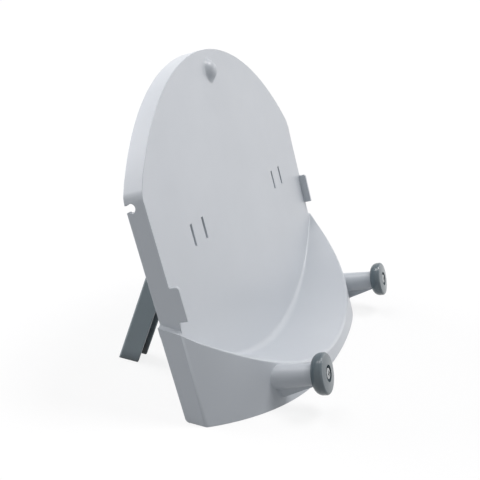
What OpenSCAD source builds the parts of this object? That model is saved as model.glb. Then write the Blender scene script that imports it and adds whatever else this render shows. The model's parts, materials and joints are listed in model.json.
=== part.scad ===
// Storage stand for a round floor-washing robot.
// Millimetres. Z is up, the floor is z = 0 and the front faces -Y.
// The panel has a frame of its own: x to the right, v up along the face and w out of the face,
// with its zero on the face, midway between the two upper corners.

/* [Panel] */
// Width across the two upper corners
panel_w = 240; // [200:1:280]
// Height of the upper corners above the floor, on the face
corner_h = 112.2; // [105:0.1:125]
// Lean of the panel from the vertical, in degrees
lean = 21; // [15:0.5:26]
// Radius of the arched top edge
arc_r = 148.1; // [142:0.1:200]
// How far each side edge runs inwards going down, in degrees
side_draft = 1.34; // [0.5:0.01:2]
// Radius between the arched edge and each side
corner_round = 9; // [4:0.5:14]
// Thickness of the face
face_t = 3; // [2:0.1:4]
// Depth of the flange behind the face
flange_depth = 10.7; // [9:0.1:14]
// Thickness of the flange
flange_t = 2.5; // [2:0.1:3.5]

/* [Basin] */
// Radius of the trough, which is the radius of the robot that rests in it
trough_r = 184.2; // [175:0.1:195]
// Dip of the trough's axis below the square to the panel, in degrees
trough_dip = 13; // [10:0.5:15]
// Height of the trough's lowest point above the floor
trough_low = 2.7; // [2.4:0.1:4]
// Distance from the panel's face to the front of the apron
apron_reach = 38.1; // [34:0.1:46]
// Radius of the apron's front
apron_front_r = 400; // [300:5:600]
// Half the width of the apron's front arc
apron_front_half = 48; // [40:1:60]
// Radius of the apron round its two corners
apron_corner_r = 128; // [124:1:136]
// Thickness of the trough and the apron
basin_t = 3; // [2.4:0.1:3.6]
// Rounding of the rim
lip_r = 2; // [1:0.1:3]
// Rounding between the panel and the trough, at the middle
crease_mid_r = 4.5; // [4:0.5:12]
// Rounding between the panel and the trough, at the sides
crease_side_r = 1.2; // [0.8:0.1:3]
// How far each skirt runs inwards going down, in degrees
skirt_draft = 0.3; // [0:0.1:4]
// How far each skirt's rear edge runs forwards going down, in degrees
skirt_taper = 1; // [0:0.1:4]
// Rise of the ledges towards the rear, in degrees
ledge_tilt = 4; // [0:0.5:6]
// Height of the slope between each ledge and the flange
ledge_rise = 0.9; // [0.3:0.1:1.5]
// Rounding of each skirt's lower rear corner
skirt_corner_r = 3; // [1:0.1:5]

/* [Pegs] */
// Distance from a peg to the line of the panel's side
peg_inset = 41.8; // [36:0.1:50]
// Level of the knob's face on the panel
peg_v = -115.9; // [-118:0.1:-110]
// Distance from the panel's face to the knob's face
peg_reach = 55.1; // [52:0.1:62]
// Dip of the pegs below the square to the panel, in degrees
peg_dip = 2; // [0:0.5:4]
// Radius of a peg at the apron
peg_root_r = 6.8; // [6:0.1:8]
// Radius of a peg at its knob
peg_tip_r = 5.8; // [5.4:0.1:7]
// Thickness of the web below each peg
web_t = 4; // [2.5:0.1:5]
// Height of the web's root above the floor
web_low = 4.5; // [1:0.1:6]

/* [Knobs] */
// Radius of a knob
knob_r = 11.15; // [10:0.05:13]
// Thickness of a knob
knob_t = 8.05; // [7.6:0.05:9]
// Rounding of a knob's rear edge
knob_back_round = 4.6; // [2:0.1:4.8]
// Rounding of a knob's front edge
knob_front_round = 1.4; // [1:0.1:2]
// Bulge of a knob's face
knob_bulge = 0.5; // [0.2:0.1:0.8]
// Radius of the spigot on a peg that locates the knob
spigot_r = 4.2; // [3.6:0.1:4.6]
// Length of the spigot
spigot_l = 3; // [2:0.1:3.5]
// Radius of the counterbore in a knob
counterbore_r = 4.5; // [4.2:0.1:5]
// Depth of the counterbore
counterbore_d = 2.4; // [2.3:0.1:2.8]
// Radius of the screw's head
screw_head_r = 2.9; // [2.6:0.1:3.4]
// Height of the screw's head
screw_head_h = 2.3; // [1.6:0.1:2.4]
// Radius of the screw's shank
screw_r = 1.5; // [1.2:0.1:1.8]
// Length of the screw below its head
screw_l = 16; // [12:0.5:20]
// Width of the screw's cross recess
recess_w = 0.7; // [0.5:0.1:0.9]

/* [Legs] */
// Distance from a leg's middle to the line of the panel's side
leg_inset = 50.4; // [47:0.1:56]
// Width of a leg
leg_w = 12.6; // [11:0.1:14]
// Depth of a leg, front to back
leg_d = 12; // [10:0.1:12.4]
// Wall of a leg
leg_wall = 1.6; // [1.4:0.1:2]
// Lean of an open leg from the vertical, in degrees
leg_lean = 14.4; // [10:0.2:18]
// Level of the hinge on the panel
hinge_v = -23.7; // [-27:0.1:-20]
// Distance of the hinge behind the face
hinge_w = 10; // [9.6:0.1:11]
// Length of a leg above its hinge
leg_head = 9; // [8:0.1:12]
// Radius of a hinge pin
pin_r = 2.25; // [1.8:0.05:2.6]
// Radius of the bosses round a pin
boss_r = 4.4; // [4:0.1:4.8]
// Thickness of a hinge cheek
cheek_t = 2.4; // [2:0.1:3]

/* [Panel details] */
// Distance from a leg's middle to the slot on each side of it
slot_off = 7.8; // [7.6:0.1:8.2]
// Width of a slot
slot_w = 2.3; // [1.6:0.1:2.4]
// Length of a slot
slot_l = 11.8; // [8:0.1:14]
// Level of the slots' middle
slot_v = -31.5; // [-34:0.1:-30]
// Level of the dome
dome_v = 49; // [44:0.1:49]
// Radius of the dome where it meets the face
dome_r = 6.6; // [5:0.1:8]
// Height of the dome
dome_h = 4.5; // [3.2:0.1:4.8]
// Radius of the hollow rounding at the dome's foot
dome_flare = 2.5; // [2:0.1:8]
// How far the ears stand out of the face
ear_out = 4.9; // [3:0.1:6]
// Thickness of the ears
ear_t = 2.2; // [1.6:0.1:2.5]
// Top of the left ear
ear_left_v = -47; // [-50:0.1:-36]
// Length of the left ear
ear_left_l = 18.3; // [14:0.1:20]
// Top of the right ear
ear_right_v = -40.5; // [-48:0.1:-36]
// Length of the right ear
ear_right_l = 20.2; // [14:0.1:22]
// Radius of the cord held by each clip
clip_r = 2.3; // [1.8:0.1:2.6]
// Level of the clips
clip_v = -5; // [-8:0.1:-4.8]
// Distance of the clips behind the face
clip_w = 7.8; // [7.2:0.1:8]
// Width of a clip's mouth
clip_mouth = 3.4; // [2.4:0.1:3.5]
// Thickness of the ribs behind the panel
rib_t = 1.6; // [1.2:0.1:2]
// Height of the ribs behind the panel
rib_h = 4.5; // [3:0.1:6]

/* [Fits] */
// Clearance round a hinge pin in its leg
pin_play = 0.06; // [0.02:0.01:0.1]
// Clearance of parts that are fixed to each other
seat_gap = 0.02; // [0.01:0.01:0.05]
// Clearance beside a leg
side_gap = 0.3; // [0.2:0.05:0.5]
// Gap left at the open leg's stop
stop_gap = 0.05; // [0.03:0.01:0.1]

/* [Hidden] */
$fn = 96;
body_colour = "#c6cacf";
dark_colour = "#5d666d";
steel_colour = "#a9afb2";
big = 400;
overlap = 1;

// Panel outline: centre of the arched edge, and of the rounding at a corner
half_w = panel_w / 2;
arc_v = -sqrt(arc_r * arc_r - half_w * half_w);
side_out = [cos(side_draft), -sin(side_draft)];
side_up = [sin(side_draft), cos(side_draft)];
corner_off = half_w * cos(side_draft) - corner_round + arc_v * sin(side_draft);
corner_rise = sqrt(pow(arc_r - corner_round, 2) - pow(corner_off, 2));
corner_c = [0, arc_v] + corner_off * side_out + corner_rise * side_up;

// Trough and apron
trough_v0 = (trough_low - corner_h) / cos(lean) + trough_r / cos(trough_dip);
front_angle = asin(apron_front_half / apron_front_r);
front_w0 = apron_reach - apron_front_r;
corner_x0 = apron_front_half - apron_corner_r * sin(front_angle);
corner_w0 = front_w0 + (apron_front_r - apron_corner_r) * cos(front_angle);
loft_edge_w = 0.1;
skirt_edge_w = 0.4;
skirt_x = apron_x(skirt_edge_w);
ledge_v = trough_v(skirt_x, 0, 0);
ledge_h = corner_h + ledge_v * cos(lean);
foot_above = 4;
slope_share = 0.8;
slope_end = 0.2;
stations = 72;
crease_steps = 6;
lip_steps = 5;

// Pegs and knobs, measured from the middle of a knob's face
peg_x = half_w - peg_inset;
peg_run = peg_reach - apron_w(peg_x, 0) - knob_t;
peg_hidden = 1.3 * peg_root_r;
web_back = 0.05 * peg_root_r;
pilot_r = screw_r + seat_gap;
screw_seat = counterbore_d;

// Legs
leg_x = half_w - leg_inset;
leg_turn = lean + leg_lean;
leg_run = 1.4 * corner_h;
stop_w = -face_t - stop_gap;
cheek_in = slot_off + slot_w / 2;
cheek_out = cheek_in + cheek_t;
cheek_r = 1.35 * boss_r;
leg_boss_l = cheek_t;
pin_head_r = 1.45 * pin_r;
pin_head_t = cheek_t / 2;
rib_stop = 1.5 * rib_h;

// Dome, a ball's cap with a hollow rounding at its foot
ball_r = (dome_r * dome_r + dome_h * dome_h) / (2 * dome_h);
ball_sink = ball_r - dome_h;
flare_x = sqrt(pow(ball_r + dome_flare, 2) - pow(dome_flare + ball_sink, 2));
flare_top = (dome_flare + ball_sink) * ball_r / (ball_r + dome_flare) - ball_sink;

// The origin lies under the middle of the stand's box
knob_slope = lean - peg_dip;
knob_face_y = peg_v * sin(lean) - peg_reach * cos(lean);
edge_back = knob_bulge + knob_front_round;
front_y = knob_face_y + edge_back * cos(knob_slope) - (knob_r - knob_front_round) * sin(knob_slope)
          - knob_front_round;
rear_y = (arc_v + arc_r) * sin(lean) + flange_depth * cos(lean);
shift_y = -(front_y + rear_y) / 2;
ledge_y = shift_y + ledge_v * sin(lean);

// Surfaces of the basin, in the panel's frame
function apron_w(x, inset) =
    abs(x) < (apron_front_r - inset) * sin(front_angle)
    ? front_w0 + sqrt(pow(apron_front_r - inset, 2) - x * x)
    : corner_w0 + sqrt(pow(apron_corner_r - inset, 2) - pow(abs(x) - corner_x0, 2));
function apron_x(w) = corner_x0 + sqrt(pow(apron_corner_r, 2) - pow(w - corner_w0, 2));
function trough_v(x, w, depth) =
    trough_v0 - sqrt(pow(trough_r + depth, 2) - x * x) / cos(trough_dip) - w * tan(trough_dip);
function floor_v(w) = -(corner_h + w * sin(lean)) / cos(lean);

// Roundings shrink where the basin runs out at its two ends
function crease_r(x) =
    min(crease_side_r + (crease_mid_r - crease_side_r) * pow(cos(90 * min(1, abs(x) / half_w)), 1.5),
        apron_w(x, 0) * 0.35);
function edge_r(x) = min(lip_r, apron_w(x, 0) * 0.35);

// Section of the basin at x, as [v, w] points from the panel's back round to its underside
function crease_arc(x) =
    let (r = crease_r(x), turn = 90 - trough_dip, d = r * tan(turn / 2))
    [for (i = [0:crease_steps]) let (a = turn * i / crease_steps)
        [trough_v(x, 0, 0) + d - r * sin(a), r - r * cos(a)]];
function lip_arc(x) =
    let (r = edge_r(x), turn = 90 - trough_dip, d = r * tan(turn / 2), w = apron_w(x, 0))
    [for (i = [0:lip_steps]) let (a = turn * (1 - i / lip_steps))
        [trough_v(x, w, 0) - d + r * sin(a), w - r + r * cos(a)]];
function basin_section(x) =
    let (top = trough_v(x, 0, 0) + crease_r(x) + foot_above, w = apron_w(x, 0),
         w_in = max(apron_w(x, basin_t), -face_t + 0.2))
    concat([[top, -face_t], [top, 0]], crease_arc(x), lip_arc(x),
           [[floor_v(w) - overlap, w], [floor_v(w_in) - overlap, w_in],
            [trough_v(x, w_in, basin_t), w_in], [trough_v(x, -face_t, basin_t), -face_t]]);

// Puts its children into the panel's frame
module on_panel() {
    translate([0, shift_y, corner_h]) rotate([90 - lean, 0, 0]) children();
}

// Repeats its children on both sides
module both_sides() {
    children();
    mirror([1, 0, 0]) children();
}

// Puts the outer face of the right flange at x = 0, with y up along it
module on_side() {
    translate([half_w, 0, 0]) rotate([0, 0, -side_draft]) children();
}

// Turns an outline drawn in v and w into a slab across x
module across(thickness) {
    rotate([90, 0, 90]) linear_extrude(thickness) children();
}

module above_floor() {
    translate([-big / 2, -big / 2, 0]) cube(big);
}

// Puts z = 0 on the ledges
module on_ledge() {
    translate([0, ledge_y, ledge_h]) rotate([ledge_tilt, 0, 0]) children();
}

// Everything below the ledges, or that much lower
module below_ledge(drop) {
    translate([0, 0, -drop]) on_ledge() translate([-big / 2, -big / 2, -big]) cube(big);
}

// Turns what stands in the part's frame back into the panel's
module off_panel() {
    rotate([lean - 90, 0, 0]) translate([0, -shift_y, -corner_h]) children();
}

// Everything above the trough's surface, or above a surface that much below it
module above_trough(depth) {
    translate([0, trough_v0, 0]) rotate([trough_dip, 0, 0])
        cylinder(r = trough_r + depth, h = big, center = true, $fn = 240);
}

// Everything behind the apron's outer face, or behind a face that much inside it
module behind_apron(inset) {
    rotate([90, 0, 0]) linear_extrude(big, center = true) {
        intersection() {
            translate([0, front_w0]) circle(r = apron_front_r - inset, $fn = 360);
            polygon([[0, front_w0], for (side = [-1, 1])
                     [side * sin(front_angle), cos(front_angle)] * 2 * apron_front_r + [0, front_w0]]);
        }
        for (side = [-1, 1]) intersection() {
            translate([side * corner_x0, corner_w0]) circle(r = apron_corner_r - inset, $fn = 240);
            polygon([[0, front_w0], [side * big, front_w0], [side * big, big],
                     [side * sin(front_angle), cos(front_angle)] * 2 * apron_front_r + [0, front_w0]]);
        }
    }
}

module panel_outline(inset) {
    r = corner_round - inset;
    out = (corner_c - [0, arc_v]) / norm(corner_c - [0, arc_v]);
    low_v = -corner_h * 1.3;
    low_x = half_w - inset / cos(side_draft) + low_v * tan(side_draft);
    right = [[low_x, low_v], corner_c + r * side_out, corner_c, corner_c + out * big];
    intersection() {
        translate([0, arc_v]) circle(r = arc_r - inset, $fn = 240);
        union() {
            for (side = [-1, 1]) translate([side * corner_c[0], corner_c[1]]) circle(r = r);
            polygon(concat(right, [for (i = [3:-1:0]) [-right[i][0], right[i][1]]]));
        }
    }
}

// What lies between the outer faces of the two skirts, or that much inside them, in x and v
module between_skirts(inset) {
    low_v = -corner_h * 1.3;
    low_x = skirt_x - inset + (low_v - ledge_v) * tan(skirt_draft);
    top_x = skirt_x - inset - ledge_v * tan(skirt_draft);
    polygon([[-low_x, low_v], [low_x, low_v], [top_x, 0], [-top_x, 0]]);
}

// One smooth sheet: foot of the panel, crease, trough, rim and apron
module basin_sheet() {
    reach = apron_x(loft_edge_w);
    sections = [for (i = [0:stations]) let (x = -reach + 2 * reach * i / stations)
        [for (p = basin_section(x)) [x, p[0], p[1]]]];
    n = len(sections[0]);
    sides = [for (i = [0:stations - 1]) for (j = [0:n - 1])
        let (a = i * n + j, b = i * n + (j + 1) % n) for (t = [[a, a + n, b + n], [a, b + n, b]]) t];
    ends = [[for (j = [0:n - 1]) j], [for (j = [n - 1:-1:0]) stations * n + j]];
    intersection() {
        polyhedron([for (s = sections) for (p = s) p], concat(sides, ends), convexity = 8);
        translate([0, 0, -big / 2]) linear_extrude(big) between_skirts(0);
        union() {
            translate([0, 0, -big / 2]) linear_extrude(big) panel_outline(0);
            off_panel() below_ledge(0);
        }
    }
}

module face() {
    intersection() {
        translate([0, 0, -face_t]) linear_extrude(face_t) {
            panel_outline(0);
            intersection() {
                between_skirts(basin_t / 2);
                translate([-big / 2, ledge_v - 1.5 * basin_t - big]) square(big);
            }
        }
        above_trough(basin_t / 2);
    }
}

// Rim behind the face's edge, down to the ledge
module flange() {
    translate([0, 0, -flange_depth]) linear_extrude(flange_depth - face_t / 2) intersection() {
        difference() {
            panel_outline(0);
            panel_outline(flange_t);
        }
        translate([-big / 2, ledge_v - basin_t / 2]) square(big);
    }
}

// Outline of a skirt seen from its side, in v and w
module skirt_side() {
    low_w = -flange_depth - floor_v(0) * tan(skirt_taper) + ledge_v * tan(skirt_taper);
    offset(r = skirt_corner_r) offset(delta = -skirt_corner_r)
        polygon([[floor_v(low_w), low_w], [floor_v(flange_depth), flange_depth],
                 [0, flange_depth], [0, -flange_depth], [ledge_v, -flange_depth]]);
}

// Side walls of the basin behind the face, stepped out past the flange by a ledge
module skirts() {
    shelf_x = half_w - flange_t + ledge_v * tan(side_draft);
    difference() {
        intersection() {
            on_panel() translate([0, 0, -flange_depth]) linear_extrude(flange_depth) difference() {
                between_skirts(0);
                square([2 * shelf_x, big], center = true);
            }
            below_ledge(0);
            on_panel() translate([-big / 2, 0, 0]) across(big) skirt_side();
        }
        intersection() {
            on_panel() translate([0, 0, -flange_depth - overlap])
                linear_extrude(flange_depth + 2 * overlap) between_skirts(basin_t);
            below_ledge(basin_t);
        }
    }
}

// Slopes that run from the ledges up to the flange
module ledge_slopes() {
    flange_x = half_w + ledge_v * tan(side_draft);
    slope = ledge_rise / (slope_share * (skirt_x - flange_x));
    inner_x = flange_x - flange_t / 2;
    foot = ledge_rise - (skirt_x - flange_x) * slope;
    intersection() {
        on_ledge() rotate([90, 0, 0]) linear_extrude(big, center = true) for (side = [-1, 1])
            polygon([[side * inner_x, ledge_rise + slope * flange_t / 2], [side * skirt_x, foot],
                     [side * inner_x, foot]]);
        on_panel() translate([-big / 2, -big / 2, -flange_depth]) cube([big, big, flange_depth - slope_end]);
    }
}

module ear(top, length) {
    r = ear_t * 0.8;
    translate([-ear_t, 0, 0]) across(ear_t) {
        translate([top - length, -overlap]) square([length, ear_out + overlap - r]);
        translate([top - length, -overlap]) square([length - r, ear_out + overlap]);
        translate([top - r, ear_out - r]) circle(r = r);
    }
}

module clip_cut() {
    translate([-flange_t - overlap, 0, 0]) across(flange_t + 2 * overlap) {
        translate([clip_v, -clip_w]) circle(r = clip_r);
        translate([clip_v - clip_mouth / 2, -flange_depth - overlap])
            square([clip_mouth, flange_depth + overlap - clip_w]);
    }
}

module dome() {
    rotate_extrude() {
        intersection() {
            translate([0, -ball_sink]) circle(r = ball_r);
            translate([0, -face_t / 2]) square([big, big]);
        }
        difference() {
            translate([0, -face_t / 2]) square([flare_x, face_t / 2 + flare_top]);
            translate([flare_x, dome_flare]) circle(r = dome_flare);
        }
    }
}

module slots() {
    for (x = [-leg_x, leg_x], off = [-slot_off, slot_off])
        translate([x + off - slot_w / 2, slot_v - slot_l / 2, -face_t - overlap])
            cube([slot_w, slot_l, face_t + 2 * overlap]);
}

// Puts z = 0 at the middle of the right knob's face, with z along the peg
module on_peg() {
    translate([peg_x, peg_v, peg_reach]) rotate([peg_dip, 0, 0]) children();
}

// A peg and its web, run on into the apron's wall
module peg() {
    slope = (peg_root_r - peg_tip_r) / peg_run;
    run = peg_run + peg_hidden;
    difference() {
        union() {
            on_peg() {
                translate([0, 0, -knob_t - run])
                    cylinder(r1 = peg_tip_r + slope * run, r2 = peg_tip_r, h = run);
                translate([0, 0, -knob_t - overlap]) cylinder(r = spigot_r, h = spigot_l + overlap);
            }
            translate([peg_x - web_t / 2, 0, 0]) across(web_t) web_outline();
        }
        behind_apron(basin_t / 2);
        on_peg() translate([0, 0, -screw_seat - screw_l - overlap]) cylinder(r = pilot_r, h = big);
    }
}

module web_outline() {
    tip_w = peg_reach - knob_t * cos(peg_dip);
    tip_v = peg_v + knob_t * sin(peg_dip);
    root_w = apron_w(peg_x, 0);
    root_v = floor_v(root_w) + web_low / cos(lean);
    deep_w = root_w - peg_hidden;
    polygon([[tip_v, tip_w - web_back], [tip_v - peg_tip_r, tip_w - web_back], [root_v, root_w],
             [root_v, deep_w], [tip_v, deep_w]]);
}

// Two cheeks with bosses that hold the right leg's pin
module hinge_lugs() {
    for (side = [-1, 1]) translate([leg_x, 0, 0]) mirror([side < 0 ? 1 : 0, 0, 0]) {
        translate([cheek_in, 0, 0]) across(cheek_t) {
            translate([hinge_v, -hinge_w]) circle(r = cheek_r);
            translate([hinge_v - cheek_r, -hinge_w]) square([2 * cheek_r, hinge_w - face_t / 2]);
        }
        translate([leg_w / 2 + side_gap, 0, 0]) across(cheek_in - leg_w / 2)
            translate([hinge_v, -hinge_w]) circle(r = boss_r);
    }
}

module hinge_bores() {
    translate([leg_x - 2 * cheek_out, 0, 0]) across(4 * cheek_out)
        translate([hinge_v, -hinge_w]) circle(r = pin_r + seat_gap);
}

// Ribs that run on from the cheeks, up and down the panel's back and between the hinges
module ribs() {
    intersection() {
        union() {
            for (x = [leg_x - cheek_in - rib_t, leg_x + cheek_in])
                translate([x, -corner_h, -face_t - rib_h]) cube([rib_t, 2 * corner_h, rib_h + face_t / 2]);
            translate([0, hinge_v - rib_t / 2, -face_t - rib_h])
                cube([leg_x - cheek_in - cheek_t / 2, rib_t, rib_h + face_t / 2]);
            translate([leg_x + cheek_out + 2 * pin_head_t, hinge_v - rib_t / 2, -face_t - rib_h])
                cube([half_w, rib_t, rib_h + face_t / 2]);
        }
        translate([0, 0, -flange_depth]) linear_extrude(flange_depth) panel_outline(flange_t / 2);
        above_trough(-rib_stop);
    }
}

module stand_body() {
    color(body_colour) difference() {
        intersection() {
            union() {
                on_panel() {
                    basin_sheet();
                    face();
                    flange();
                    translate([0, dome_v, 0]) dome();
                    both_sides() {
                        peg();
                        hinge_lugs();
                        ribs();
                    }
                    on_side() ear(ear_right_v, ear_right_l);
                    mirror([1, 0, 0]) on_side() ear(ear_left_v, ear_left_l);
                }
                skirts();
                ledge_slopes();
            }
            above_floor();
        }
        on_panel() {
            slots();
            translate([0, dome_v, -ball_sink]) sphere(r = ball_r - face_t * 0.8);
            both_sides() {
                on_side() clip_cut();
                hinge_bores();
            }
        }
    }
}

// Puts the right hinge's axis on x, with y up along the open leg and z out of its open side
module on_leg() {
    on_panel() translate([leg_x, hinge_v, -hinge_w]) rotate([leg_turn, 0, 0]) children();
}

// Everything behind the panel's back, less that much
module behind_panel(gap) {
    on_panel() translate([-big / 2, -big / 2, stop_w - gap - big]) cube(big);
}

// A channel, open towards the panel, cut level at its foot and parallel to the panel at its head
module leg() {
    color(dark_colour) difference() {
        intersection() {
            on_leg() translate([-leg_w / 2, -leg_run, -leg_d / 2]) cube([leg_w, leg_run + leg_head, leg_d]);
            behind_panel(0);
            above_floor();
        }
        difference() {
            intersection() {
                on_leg() translate([leg_wall - leg_w / 2, -leg_run - overlap, leg_wall - leg_d / 2])
                    cube([leg_w - 2 * leg_wall, leg_run + overlap + leg_head - leg_wall, leg_d]);
                behind_panel(leg_wall);
            }
            on_leg() for (side = [-1, 1]) translate([side * (leg_w / 2 - leg_wall - leg_boss_l / 2), 0, 0])
                rotate([0, 90, 0]) cylinder(r = boss_r, h = leg_boss_l, center = true);
        }
        on_leg() rotate([0, 90, 0]) cylinder(r = pin_r + pin_play, h = 2 * leg_w, center = true);
    }
}

module leg_pin() {
    color(steel_colour) on_leg() rotate([0, 90, 0]) {
        cylinder(r = pin_r, h = 2 * cheek_out, center = true);
        translate([0, 0, cheek_out + seat_gap]) cylinder(r = pin_head_r, h = pin_head_t);
        translate([0, 0, cheek_out - overlap]) cylinder(r = pin_r, h = 2 * overlap);
    }
}

module knob() {
    face_r = knob_r - knob_front_round;
    crown_r = (face_r * face_r + knob_bulge * knob_bulge) / (2 * knob_bulge);
    front_z = -knob_bulge - knob_front_round;
    back_z = -knob_t + knob_back_round;
    color(dark_colour) on_panel() on_peg() rotate_extrude() difference() {
        intersection() {
            union() {
                translate([face_r, front_z]) circle(r = knob_front_round);
                translate([knob_r - knob_back_round, back_z]) circle(r = knob_back_round);
                translate([0, -knob_t]) square([knob_r - knob_back_round, knob_t]);
                translate([0, back_z]) square([knob_r, front_z - back_z]);
                translate([0, front_z]) square([face_r, -front_z]);
            }
            translate([0, -crown_r]) circle(r = crown_r, $fn = 360);
            translate([0, -big / 2]) square(big);
        }
        translate([0, -counterbore_d]) square([counterbore_r, big]);
        translate([0, -big / 2]) square([screw_r + 5 * seat_gap, big]);
        translate([0, -knob_t - overlap]) square([spigot_r + 2 * seat_gap, spigot_l + overlap + seat_gap]);
    }
}

// Cheese-head screw with a cross recess; its thread isn't modelled
module knob_screw() {
    crown = screw_head_h * 0.12;
    crown_r = (screw_head_r * screw_head_r + crown * crown) / (2 * crown);
    color(steel_colour) on_panel() on_peg() translate([0, 0, -screw_seat]) difference() {
        union() {
            translate([0, 0, -screw_l]) cylinder(r = screw_r, h = screw_l + overlap);
            rotate_extrude() intersection() {
                square([screw_head_r, screw_head_h]);
                translate([0, screw_head_h - crown_r]) circle(r = crown_r, $fn = 200);
            }
        }
        for (a = [0, 90]) rotate([0, 0, a])
            translate([-screw_head_r * 0.55, -recess_w / 2, screw_head_h * 0.45])
                cube([screw_head_r * 1.1, recess_w, screw_head_h]);
    }
}

stand_body();
mirror([1, 0, 0]) leg();  // leg_left
leg();  // leg_right
mirror([1, 0, 0]) leg_pin();  // leg_pin_left
leg_pin();  // leg_pin_right
mirror([1, 0, 0]) knob();  // knob_left
knob();  // knob_right
mirror([1, 0, 0]) knob_screw();  // knob_screw_left
knob_screw();  // knob_screw_right
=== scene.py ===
"""Looks for the robot's storage stand: camera, light, floor and the finish of every surface."""

import json
import math

import bmesh
import bpy
from mathutils import Matrix, Vector

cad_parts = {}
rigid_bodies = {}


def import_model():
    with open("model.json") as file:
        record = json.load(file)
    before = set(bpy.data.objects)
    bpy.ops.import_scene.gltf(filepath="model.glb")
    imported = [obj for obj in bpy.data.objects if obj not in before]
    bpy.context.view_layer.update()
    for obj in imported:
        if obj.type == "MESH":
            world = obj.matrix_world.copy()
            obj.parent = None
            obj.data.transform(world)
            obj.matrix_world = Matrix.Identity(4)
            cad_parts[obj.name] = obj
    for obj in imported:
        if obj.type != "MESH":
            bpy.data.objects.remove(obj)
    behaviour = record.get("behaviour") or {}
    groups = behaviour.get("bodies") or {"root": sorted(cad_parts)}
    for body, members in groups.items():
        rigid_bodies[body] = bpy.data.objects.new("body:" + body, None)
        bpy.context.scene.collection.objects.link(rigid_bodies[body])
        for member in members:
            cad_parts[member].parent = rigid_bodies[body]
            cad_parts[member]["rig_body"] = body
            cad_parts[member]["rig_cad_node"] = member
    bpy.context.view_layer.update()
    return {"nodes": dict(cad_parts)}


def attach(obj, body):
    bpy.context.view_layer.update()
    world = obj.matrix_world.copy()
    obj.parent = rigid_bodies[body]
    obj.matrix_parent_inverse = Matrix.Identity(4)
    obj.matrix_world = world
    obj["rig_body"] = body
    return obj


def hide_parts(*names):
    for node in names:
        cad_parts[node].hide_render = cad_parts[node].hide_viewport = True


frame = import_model()

# Colours, as sRGB values from 0 to 255
BODY = (207, 212, 217)
BODY_LOW = (203, 208, 213)
DARK = (138, 149, 154)
DARK_LOW = (128, 140, 145)
KNOB = (108, 121, 127)
KNOB_LOW = (100, 113, 119)
STEEL = (176, 180, 182)
PAPER = (255, 255, 255)
PAPER_BOUNCE = (158, 160, 162)
PAPER_GLOW = 0.84
SKY = (244, 250, 255)
SUN = (255, 252, 253)

# Camera, in metres in the frame of the part
CAMERA_PLACE = (-0.4690, -0.13088, 0.2252)
CAMERA_AHEAD = (0.90144, 0.28958, -0.32180)
CAMERA_UP = (0.27369, 0.19474, 0.94190)
CAMERA_LENS = 63.23
CAMERA_SENSOR = 36.0

# Lamps far away, each with the way its light comes from, its strength and its spread in degrees
LAMPS = {
    "back_low": ((0.0, 0.966, 0.259), 2.60, 50),
    "back_high": ((0.0, 0.423, 0.906), 0.68, 24),
    "front_right_high": ((0.299, -0.299, 0.906), 1.46, 24),
    "front_right_low": ((0.683, -0.683, 0.259), 0.70, 50),
    "front_left_low": ((-0.683, -0.683, 0.259), 0.15, 50),
}
SKY_STRENGTH = 0.22

# Painted shade that darkens the colour of the dark plastic in its recesses: how far it looks for a wall, in metres,
# and between which shares of open sky it fades
PAINTED_SHADE_REACH = 0.012
PAINTED_SHADE_START = 0.35
PAINTED_SHADE_END = 0.8

# Rounding of edges, in metres
BODY_ROUND = 0.0004
SKIRT_ROUND = 0.0016
LEG_ROUND = 0.0005
LEG_BACK_ROUND = 0.0016
ROUND_STEPS = 3
SHARP_ANGLE = math.radians(30)
SAME_ANGLE = math.radians(0.1)
CORNER_ANGLE = math.radians(40)
ROOM = 0.0012
LARGER = 5
WEIGHT = "bevel_weight_edge"
LONG_EDGE = 0.03
TINY_EDGE = 0.0002
EAR_EDGE = 0.06
BACKWARDS = 0.9
SIDEWAYS = 0.9
SLANTED = (0.5, 0.8)
STAGE_SIZE = 40.0


def linear(rgb):
    """sRGB from 0 to 255 as Blender's linear colour with alpha."""
    out = []
    for value in rgb:
        c = value / 255
        out.append(c / 12.92 if c <= 0.04045 else ((c + 0.055) / 1.055) ** 2.4)
    return (*out, 1.0)


class Nodes:
    """A material's node tree, with short calls to add and join nodes."""

    def __init__(self, name):
        self.material = bpy.data.materials.new(name)
        self.material.use_nodes = True
        self.tree = self.material.node_tree
        self.tree.nodes.clear()
        self.output = self.add("ShaderNodeOutputMaterial")

    def add(self, kind, **values):
        node = self.tree.nodes.new(kind)
        for key, value in values.items():
            setattr(node, key, value)
        return node

    def join(self, source, socket, target, into):
        self.tree.links.new(source.outputs[socket], target.inputs[into])

    def noise(self, place, scale, detail=3.0, roughness=0.5):
        node = self.add("ShaderNodeTexNoise")
        node.inputs["Scale"].default_value = scale
        node.inputs["Detail"].default_value = detail
        node.inputs["Roughness"].default_value = roughness
        self.join(place, "Object", node, "Vector")
        return node

    def ramp(self, source, low, high, start=0.0, end=1.0):
        node = self.add("ShaderNodeMapRange")
        node.inputs["From Min"].default_value = start
        node.inputs["From Max"].default_value = end
        node.inputs["To Min"].default_value = low
        node.inputs["To Max"].default_value = high
        self.join(source, "Fac", node, "Value")
        return node


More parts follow.
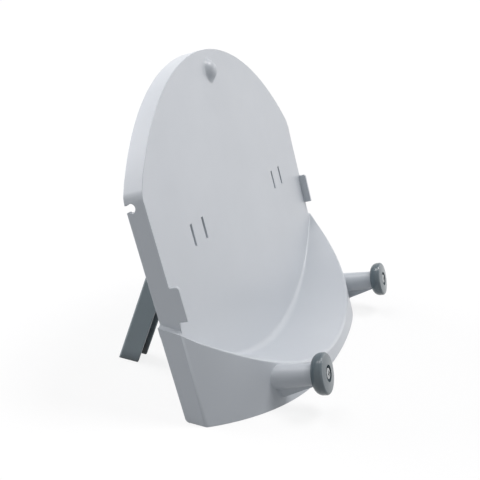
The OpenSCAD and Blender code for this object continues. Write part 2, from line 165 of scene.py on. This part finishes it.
def moulded(name, colour, second, gloss, grain, grain_size, waves=0.0, painted_shade=1.0):
    """Moulded plastic: faint drifts of colour and gloss, and a fine spark-eroded grain. A painted shade below 1
    darkens the colour in the recesses, so the shade is painted into the surface and is not cast by the lamps."""
    n = Nodes(name)
    place = n.add("ShaderNodeTexCoord")
    shader = n.add("ShaderNodeBsdfPrincipled")
    shader.inputs["IOR"].default_value = 1.5
    drift = n.noise(place, 14.0, 4.0)
    mix = n.add("ShaderNodeMix", data_type="RGBA")
    mix.inputs["A"].default_value = linear(second)
    mix.inputs["B"].default_value = linear(colour)
    n.join(n.ramp(drift, 0.0, 1.0, 0.35, 0.65), "Result", mix, "Factor")
    # Painted shade: ambient occlusion darkens the base colour in the recesses
    if painted_shade < 1:
        occlusion = n.add("ShaderNodeAmbientOcclusion", samples=8)
        occlusion.inputs["Distance"].default_value = PAINTED_SHADE_REACH
        shade_factor = n.add("ShaderNodeMapRange")
        shade_factor.inputs["From Min"].default_value = PAINTED_SHADE_START
        shade_factor.inputs["From Max"].default_value = PAINTED_SHADE_END
        shade_factor.inputs["To Min"].default_value = painted_shade
        shade_factor.inputs["To Max"].default_value = 1.0
        n.join(occlusion, "AO", shade_factor, "Value")
        shaded = n.add("ShaderNodeVectorMath", operation="SCALE")
        n.join(mix, "Result", shaded, "Vector")
        n.join(shade_factor, "Result", shaded, "Scale")
        n.join(shaded, "Vector", shader, "Base Color")
    else:
        n.join(mix, "Result", shader, "Base Color")
    smear = n.noise(place, 60.0, 2.0)
    n.join(n.ramp(smear, gloss - 0.04, gloss + 0.04, 0.3, 0.7), "Result", shader, "Roughness")
    fine = n.noise(place, grain_size, 2.0)
    bump = n.add("ShaderNodeBump")
    bump.inputs["Strength"].default_value = grain
    bump.inputs["Distance"].default_value = 0.0002
    n.join(fine, "Fac", bump, "Height")
    if waves > 0:
        broad = n.noise(place, 9.0, 1.0)
        sink = n.add("ShaderNodeBump")
        sink.inputs["Strength"].default_value = waves
        sink.inputs["Distance"].default_value = 0.002
        n.join(broad, "Fac", sink, "Height")
        n.join(sink, "Normal", bump, "Normal")
    n.join(bump, "Normal", shader, "Normal")
    n.join(shader, "BSDF", n.output, "Surface")
    return n.material


def plated(name, colour):
    """Plated steel with fine turning marks."""
    n = Nodes(name)
    place = n.add("ShaderNodeTexCoord")
    shader = n.add("ShaderNodeBsdfPrincipled")
    shader.inputs["Metallic"].default_value = 0.85
    shade = n.noise(place, 900.0, 3.0)
    mix = n.add("ShaderNodeMix", data_type="RGBA")
    mix.inputs["A"].default_value = linear([0.85 * value for value in colour])
    mix.inputs["B"].default_value = linear(colour)
    n.join(shade, "Fac", mix, "Factor")
    n.join(mix, "Result", shader, "Base Color")
    n.join(n.ramp(shade, 0.3, 0.45), "Result", shader, "Roughness")
    bump = n.add("ShaderNodeBump")
    bump.inputs["Strength"].default_value = 0.15
    bump.inputs["Distance"].default_value = 0.0001
    n.join(shade, "Fac", bump, "Height")
    n.join(bump, "Normal", shader, "Normal")
    n.join(shader, "BSDF", n.output, "Surface")
    return n.material


def paper(name):
    """White paper for the floor. To the camera, in gloss and through glass it is a lit white table with faint
    shadows, and what it throws back on the object is that of a greyer floor."""
    n = Nodes(name)
    rays = n.add("ShaderNodeLightPath")
    place = n.add("ShaderNodeTexCoord")
    seen = n.add("ShaderNodeBsdfDiffuse")
    tooth = n.noise(place, 900.0, 2.0)
    bump = n.add("ShaderNodeBump")
    bump.inputs["Strength"].default_value = 0.05
    bump.inputs["Distance"].default_value = 0.0002
    n.join(tooth, "Fac", bump, "Height")
    n.join(bump, "Normal", seen, "Normal")
    seen.inputs["Color"].default_value = linear(PAPER)
    glow = n.add("ShaderNodeEmission")
    lit = n.add("ShaderNodeMixShader")
    lit.inputs["Fac"].default_value = PAPER_GLOW
    n.tree.links.new(seen.outputs["BSDF"], lit.inputs[1])
    n.tree.links.new(glow.outputs["Emission"], lit.inputs[2])
    bounce = n.add("ShaderNodeBsdfDiffuse")
    bounce.inputs["Color"].default_value = linear(PAPER_BOUNCE)
    either = n.add("ShaderNodeMath", operation="MAXIMUM")
    n.join(rays, "Is Camera Ray", either, 0)
    n.join(rays, "Is Glossy Ray", either, 1)
    through = n.add("ShaderNodeMath", operation="MAXIMUM")
    n.join(either, "Value", through, 0)
    n.join(rays, "Is Transmission Ray", through, 1)
    pick = n.add("ShaderNodeMixShader")
    n.join(through, "Value", pick, "Fac")
    n.tree.links.new(bounce.outputs["BSDF"], pick.inputs[1])
    n.tree.links.new(lit.outputs["Shader"], pick.inputs[2])
    n.join(pick, "Shader", n.output, "Surface")
    return n.material


def weld(obj):
    """Joins the doubled points of an imported mesh, takes flat stretches back to whole faces and drops the
    imported shading."""
    mesh = bmesh.new()
    mesh.from_mesh(obj.data)
    bmesh.ops.remove_doubles(mesh, verts=mesh.verts, dist=1e-6)
    bmesh.ops.dissolve_limit(mesh, angle_limit=math.radians(0.5), verts=mesh.verts, edges=mesh.edges)
    mesh.to_mesh(obj.data)
    mesh.free()
    for name in ("custom_normal", "sharp_edge", "sharp_face"):
        if name in obj.data.attributes:
            obj.data.attributes.remove(obj.data.attributes[name])


def crowded(edge, widths):
    """Whether an edge has a short one beside it, so that a rounding would run into the next."""
    for vert in edge.verts:
        along = vert.co - edge.other_vert(vert).co
        for other in vert.link_edges:
            if other is edge:
                continue
            length = other.calc_length()
            if other in widths:
                turn = (other.other_vert(vert).co - vert.co).angle(along, 0)
                if turn > CORNER_ANGLE and min(length, edge.calc_length()) < ROOM:
                    return True
            elif length < ROOM:
                return True
    return False


def round_edges(obj, roundings):
    """Rounds the sharp edges with room around them, each to the width of the first rounding that chooses it.
    The new faces get the second material slot."""
    mesh = bmesh.new()
    mesh.from_mesh(obj.data)
    weight = mesh.edges.layers.float.get(WEIGHT) or mesh.edges.layers.float.new(WEIGHT)
    widths = {}
    for edge in mesh.edges:
        if edge.is_manifold and edge.calc_face_angle() > SHARP_ANGLE:
            fitting = [width for width, chosen in roundings if chosen(edge)]
            if fitting:
                widths[edge] = fitting[0]
    tight = [edge for edge in widths if edge.calc_length() < TINY_EDGE or crowded(edge, widths)]
    for edge in tight:
        del widths[edge]
    widest = max(width for width, chosen in roundings)
    for edge in mesh.edges:
        edge[weight] = widths.get(edge, 0.0) / widest
    mesh.to_mesh(obj.data)
    mesh.free()
    bevel = obj.modifiers.new("rounding", "BEVEL")
    bevel.width = widest
    bevel.segments = ROUND_STEPS
    bevel.limit_method = "WEIGHT"
    bevel.use_clamp_overlap = False
    bevel.material = 1
    bpy.context.view_layer.update()
    shape = bpy.data.meshes.new_from_object(obj.evaluated_get(bpy.context.evaluated_depsgraph_get()))
    obj.modifiers.clear()
    obj.data = shape


def any_edge(edge):
    return True


def outer_edge(edge):
    """The outer edges of the moulding, but for the long ones that its ears continue."""
    return edge.is_convex and edge.calc_length() < EAR_EDGE


def leg_back_edge(edge):
    """The long outer edges of a leg, along its back."""
    return edge.is_convex and edge.calc_length() > LONG_EDGE and any(f.normal.y > BACKWARDS for f in edge.link_faces)


def skirt_edge(edge):
    """The long outer edges of the skirt, between its side and the curve of its front."""
    turns = sorted(abs(face.normal.x) for face in edge.link_faces)
    slanted = SLANTED[0] < turns[0] < SLANTED[1] and turns[-1] > SIDEWAYS
    return edge.is_convex and edge.calc_length() > LONG_EDGE and slanted


def mean_normal(faces):
    """The mean over the faces that meet at a corner, or the normal of one that is far larger than the rest, so
    that flat faces stay flat to their edges."""
    sizes = {face: face.calc_area() for face in faces}
    largest = max(faces, key=sizes.get)
    if sizes[largest] > LARGER * (sum(sizes.values()) - sizes[largest]):
        return largest.normal.copy()
    total = Vector()
    for face in faces:
        total += face.normal * sizes[face]
    return total.normalized()


def corner_normal(loop):
    """The normal at a face's corner. Faces of the moulding blend where they meet smoothly, and a rounding
    starts and ends with the normals of the faces that it joins."""
    around = loop.vert.link_faces
    first = [face for face in around if face.material_index == 0]
    if loop.face.material_index == 1:
        return mean_normal(first or list(around))
    found = {loop.face}
    for step in ("forward", "back"):
        here = loop
        while True:
            edge = here.edge if step == "forward" else here.link_loop_prev.edge
            if not edge.is_manifold or edge.calc_face_angle() > SHARP_ANGLE:
                break
            across = here.link_loop_radial_next if step == "forward" else here.link_loop_prev.link_loop_radial_next
            here = across.link_loop_next if step == "forward" else across
            if here.face in found or here.face.material_index == 1:
                break
            found.add(here.face)
    return mean_normal(found)


def shade(obj):
    """Shades the curved faces smooth and the flat ones flat, and takes all faces to the first slot."""
    mesh = bmesh.new()
    mesh.from_mesh(obj.data)
    mesh.normal_update()
    normals = {loop: corner_normal(loop) for face in mesh.faces for loop in face.loops}
    for edge in mesh.edges:
        if edge.is_manifold:
            one, other = edge.link_loops
            ends = ((one, other.link_loop_next), (one.link_loop_next, other))
            split = any(normals[here].angle(normals[there], 0) > SAME_ANGLE for here, there in ends)
            border = one.face.material_index != other.face.material_index
            obj.data.edges[edge.index].use_edge_sharp = split or border
    for face in obj.data.polygons:
        face.use_smooth = True
        face.material_index = 0
    obj.data.materials.pop()
    obj.data.normals_split_custom_set(list(normals.values()))
    mesh.free()


def dress(node, material):
    obj = frame["nodes"][node]
    obj.data.materials.clear()
    obj.data.materials.append(material)


def rounded_copy(node, name, body, material, roundings):
    """A copy of a node with rounded edges, which is shown in its place."""
    obj = frame["nodes"][node].copy()
    obj.data = frame["nodes"][node].data.copy()
    obj.name = name
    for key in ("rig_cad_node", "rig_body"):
        if key in obj:
            del obj[key]
    obj.parent = None
    bpy.context.scene.collection.objects.link(obj)
    obj.data.materials.clear()
    for _ in range(2):
        obj.data.materials.append(material)
    weld(obj)
    round_edges(obj, roundings)
    shade(obj)
    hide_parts(node)
    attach(obj, body)
    return obj


def make_camera():
    data = bpy.data.cameras.new("camera")
    data.lens = CAMERA_LENS
    data.sensor_width = CAMERA_SENSOR
    camera = bpy.data.objects.new("camera", data)
    ahead = Vector(CAMERA_AHEAD).normalized()
    right = ahead.cross(Vector(CAMERA_UP)).normalized()
    up = right.cross(ahead)
    turn = Matrix((right, up, -ahead)).transposed().to_4x4()
    camera.matrix_world = Matrix.Translation(CAMERA_PLACE) @ turn
    bpy.context.scene.collection.objects.link(camera)
    bpy.context.scene.camera = camera


def make_floor(material):
    size = STAGE_SIZE / 2
    data = bpy.data.meshes.new("floor")
    data.from_pydata([(-size, -size, 0), (size, -size, 0), (size, size, 0), (-size, size, 0)], [], [(0, 1, 2, 3)])
    floor = bpy.data.objects.new("floor", data)
    data.materials.append(material)
    bpy.context.scene.collection.objects.link(floor)


def make_lamp(name, away, strength, spread):
    data = bpy.data.lights.new(name, "SUN")
    data.color = linear(SUN)[:3]
    data.energy = strength
    data.angle = math.radians(spread)
    lamp = bpy.data.objects.new(name, data)
    lamp.rotation_mode = "QUATERNION"
    lamp.rotation_quaternion = Vector(away).to_track_quat("Z", "Y")
    bpy.context.scene.collection.objects.link(lamp)


def make_world(strength):
    world = bpy.data.worlds.new("world")
    world.use_nodes = True
    tree = world.node_tree
    tree.nodes.clear()
    out = tree.nodes.new("ShaderNodeOutputWorld")
    rays = tree.nodes.new("ShaderNodeLightPath")
    seen = tree.nodes.new("ShaderNodeBackground")
    seen.inputs["Color"].default_value = (1, 1, 1, 1)
    light = tree.nodes.new("ShaderNodeBackground")
    light.inputs["Color"].default_value = linear(SKY)
    light.inputs["Strength"].default_value = strength
    pick = tree.nodes.new("ShaderNodeMixShader")
    either = tree.nodes.new("ShaderNodeMath")
    either.operation = "MAXIMUM"
    tree.links.new(rays.outputs["Is Camera Ray"], either.inputs[0])
    tree.links.new(rays.outputs["Is Glossy Ray"], either.inputs[1])
    through = tree.nodes.new("ShaderNodeMath")
    through.operation = "MAXIMUM"
    tree.links.new(either.outputs["Value"], through.inputs[0])
    tree.links.new(rays.outputs["Is Transmission Ray"], through.inputs[1])
    tree.links.new(through.outputs["Value"], pick.inputs["Fac"])
    tree.links.new(light.outputs["Background"], pick.inputs[1])
    tree.links.new(seen.outputs["Background"], pick.inputs[2])
    tree.links.new(pick.outputs["Shader"], out.inputs["Surface"])
    bpy.context.scene.world = world


make_camera()
make_floor(paper("white_paper"))
make_world(SKY_STRENGTH)
for lamp, values in LAMPS.items():
    make_lamp(lamp, *values)
bpy.context.scene.view_settings.view_transform = "Standard"

light_plastic = moulded("light_grey_plastic", BODY, BODY_LOW, 0.33, 0.12, 2600.0, 0.05)
# The dark plastic has painted shade in its recesses
dark_plastic_painted_shade = moulded("dark_grey_plastic_painted_shade", DARK, DARK_LOW, 0.42, 0.2, 2200.0, painted_shade=0.12)
knob_plastic = moulded("glossy_dark_plastic", KNOB, KNOB_LOW, 0.12, 0.05, 2200.0)
steel = plated("plated_steel", STEEL)

rounded_copy("stand_body", "moulding", "stand", light_plastic,
             [(SKIRT_ROUND, skirt_edge), (BODY_ROUND, outer_edge)])
for side in ("left", "right"):
    rounded_copy("leg_" + side, "prop_leg_" + side, side + "_leg", dark_plastic_painted_shade,
                 [(LEG_BACK_ROUND, leg_back_edge), (LEG_ROUND, any_edge)])
    dress("knob_" + side, knob_plastic)
    dress("leg_pin_" + side, steel)
    dress("knob_screw_" + side, steel)
